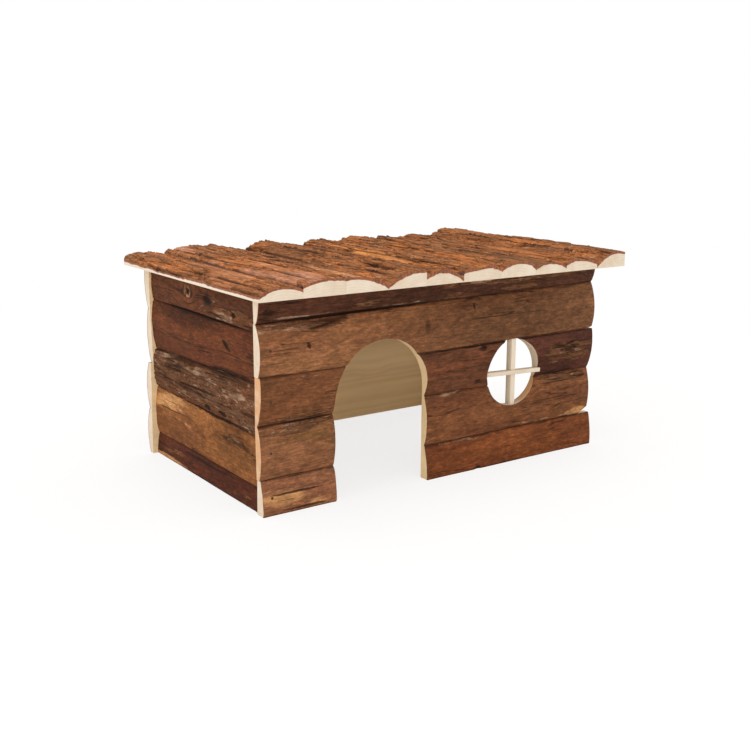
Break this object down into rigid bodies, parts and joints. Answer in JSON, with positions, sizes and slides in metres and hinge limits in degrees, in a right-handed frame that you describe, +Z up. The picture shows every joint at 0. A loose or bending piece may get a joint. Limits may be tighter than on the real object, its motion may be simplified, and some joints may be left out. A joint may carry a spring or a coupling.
{
  "type": "wooden hamster house",
  "caption": "Small-animal house of bark slabs with a flat slab roof, an arched doorway and a round window with a cross of sticks in front, a second doorway in the right wall and an open bottom.",
  "frame": {"origin": "on the floor under the middle of the roof", "axes": "+X to the right along the front, +Y from the front to the back, +Z up"},
  "size_m": [0.4, 0.27, 0.1975],
  "materials": {
    "front_bark": "rough bark",
    "back_bark": "rough bark",
    "side_bark": "rough bark",
    "roof_bark": "furrowed bark",
    "bare_wood": "sawn",
    "nail_steel": "bright"
  },
  "bodies": {
    "root": {"front_bottom_left": "front_bark", "front_bottom_right": "front_bark", "front_lower_left": "front_bark", "front_lower_right": "front_bark", "front_middle_left": "front_bark", "front_middle_pier": "front_bark", "front_middle_right": "front_bark", "front_upper": "front_bark", "front_top": "front_bark", "back_bottom": "back_bark", "back_lower": "back_bark", "back_upper": "back_bark", "back_top": "back_bark", "left_bottom": "side_bark", "left_lower": "side_bark", "left_middle": "side_bark", "left_upper": "side_bark", "left_top": "side_bark", "right_bottom": "side_bark", "right_lower": "side_bark", "right_middle": "side_bark", "right_upper": "side_bark", "right_top": "side_bark", "right_bottom_rear": "side_bark", "right_lower_rear": "side_bark", "right_middle_rear": "side_bark", "roof_slab_1": "roof_bark", "roof_slab_2": "roof_bark", "roof_slab_3": "roof_bark", "roof_slab_4": "roof_bark", "roof_slab_5": "roof_bark", "roof_slab_6": "roof_bark", "roof_slab_7": "roof_bark", "roof_slab_8": "roof_bark", "roof_slab_9": "roof_bark", "roof_slab_10": "roof_bark", "window_upright": "bare_wood", "window_crossbar": "bare_wood", "front_nails": "nail_steel", "back_nails": "nail_steel", "roof_front_nails": "nail_steel", "roof_back_nails": "nail_steel"}
  },
  "joints": []
}
